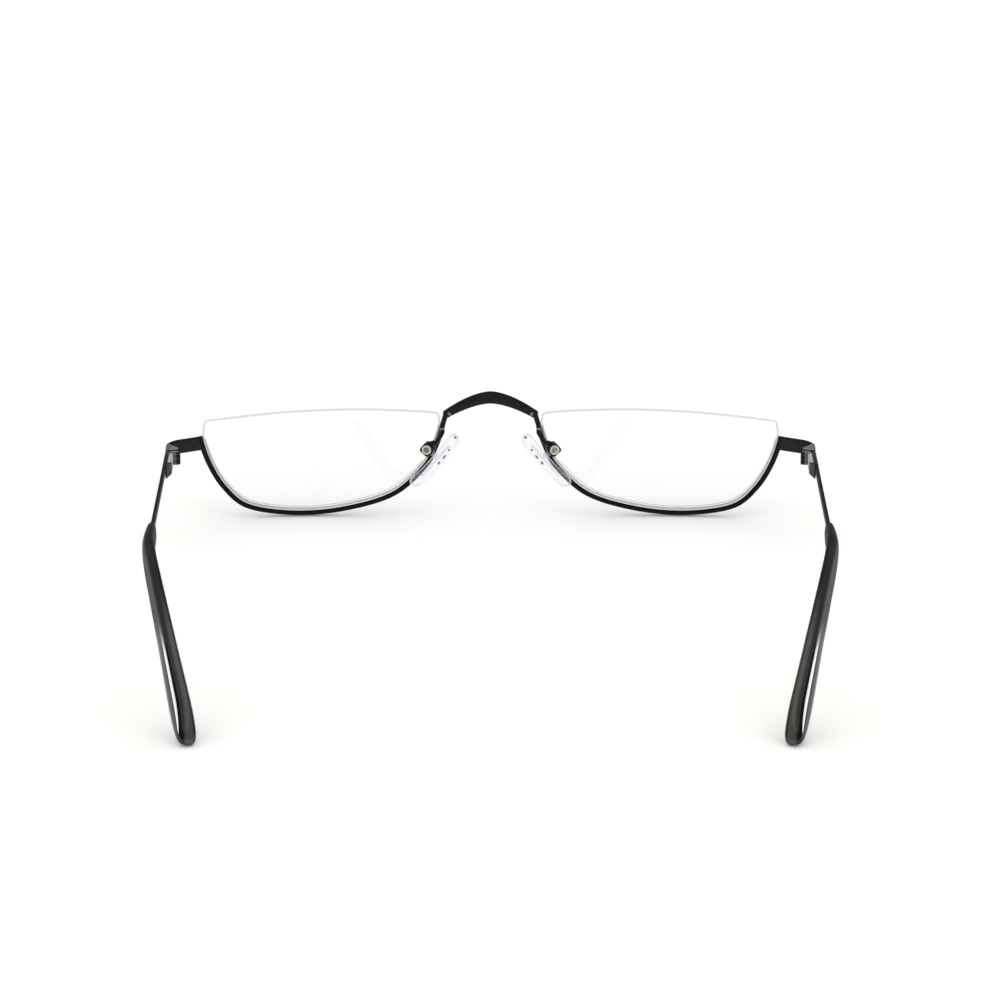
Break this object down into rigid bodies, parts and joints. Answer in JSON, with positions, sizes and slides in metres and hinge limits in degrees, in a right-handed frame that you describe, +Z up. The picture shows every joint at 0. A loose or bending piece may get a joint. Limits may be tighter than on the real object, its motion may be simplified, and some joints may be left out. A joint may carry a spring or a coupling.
{
  "type": "half-frame reading glasses",
  "caption": "Slim reading glasses with half-height lenses held in wires that run under them, an arched bridge, rocking nose pads, and temples that fold and spring on hinges.",
  "frame": {"origin": "under the middle of the glasses, on the surface they stand on: centre of the bounding box in X and Y, and its bottom", "axes": "+Z up, +Y the way the wearer looks, +X to the wearer's right; the glasses are symmetric about the plane X = 0"},
  "size_m": [0.1316, 0.1358, 0.0264],
  "materials": {
    "black_metal": "satin black coating",
    "grey_metal": "satin dark grey coating",
    "bare_steel": "bare, fine brushed",
    "screw_steel": "bare, slightly darkened in the slot",
    "lens": "clear polished resin",
    "nylon": "clear nylon",
    "tip_plastic": "glossy black",
    "core_plastic": "clear hard plastic",
    "silicone": "clear soft silicone with a faint violet tint"
  },
  "bodies": {
    "front": {"bridge": "black_metal", "left_rim": "black_metal", "left_rim_liner": "nylon", "left_lens": "lens", "left_lens_cord": "nylon", "left_end_piece": "black_metal", "left_hinge_leaf": "black_metal", "left_hinge_screw": "screw_steel", "left_pad_arm": "black_metal", "left_pad_box": "black_metal", "left_pad_screw": "screw_steel", "right_rim": "black_metal", "right_rim_liner": "nylon", "right_lens": "lens", "right_lens_cord": "nylon", "right_end_piece": "black_metal", "right_hinge_leaf": "black_metal", "right_hinge_screw": "screw_steel", "right_pad_arm": "black_metal", "right_pad_box": "black_metal", "right_pad_screw": "screw_steel"},
    "left_tongue": {"left_hinge_tongue": "bare_steel", "left_hinge_spring": "bare_steel"},
    "left_temple_arm": {"left_hinge_bush": "bare_steel", "left_spring_housing": "grey_metal", "left_temple": "black_metal", "left_temple_tip": "tip_plastic"},
    "left_pad": {"left_pad_core": "core_plastic", "left_nose_pad": "silicone"},
    "right_tongue": {"right_hinge_tongue": "bare_steel", "right_hinge_spring": "bare_steel"},
    "right_temple_arm": {"right_hinge_bush": "bare_steel", "right_spring_housing": "grey_metal", "right_temple": "black_metal", "right_temple_tip": "tip_plastic"},
    "right_pad": {"right_pad_core": "core_plastic", "right_nose_pad": "silicone"}
  },
  "joints": [
    {"name": "left_fold", "type": "hinge", "parent": "front", "child": "left_tongue", "pos_m": [-0.0635, 0.05527, 0.01457], "axis": [0, 0.1132, 0.9936], "range_deg": [0, 87]},
    {"name": "left_flex", "type": "slide", "parent": "left_tongue", "child": "left_temple_arm", "axis": [0.0506, -0.9923, 0.1131], "range_m": [0, 0.0008], "stiffness_N_per_m": 4000, "springref_m": -0.0006},
    {"name": "left_pad_rock", "type": "hinge", "parent": "front", "child": "left_pad", "pos_m": [-0.0127, 0.05867, 0.01542], "axis": [0.1569, 0.9781, -0.1364], "range_deg": [-7, 7]},
    {"name": "right_fold", "type": "hinge", "parent": "front", "child": "right_tongue", "pos_m": [0.0635, 0.05527, 0.01457], "axis": [0, -0.1132, -0.9936], "range_deg": [0, 82.5]},
    {"name": "right_flex", "type": "slide", "parent": "right_tongue", "child": "right_temple_arm", "axis": [-0.0506, -0.9923, 0.1131], "range_m": [0, 0.0008], "stiffness_N_per_m": 4000, "springref_m": -0.0006},
    {"name": "right_pad_rock", "type": "hinge", "parent": "front", "child": "right_pad", "pos_m": [0.0127, 0.05867, 0.01542], "axis": [-0.1569, 0.9781, -0.1364], "range_deg": [-7, 7]}
  ]
}
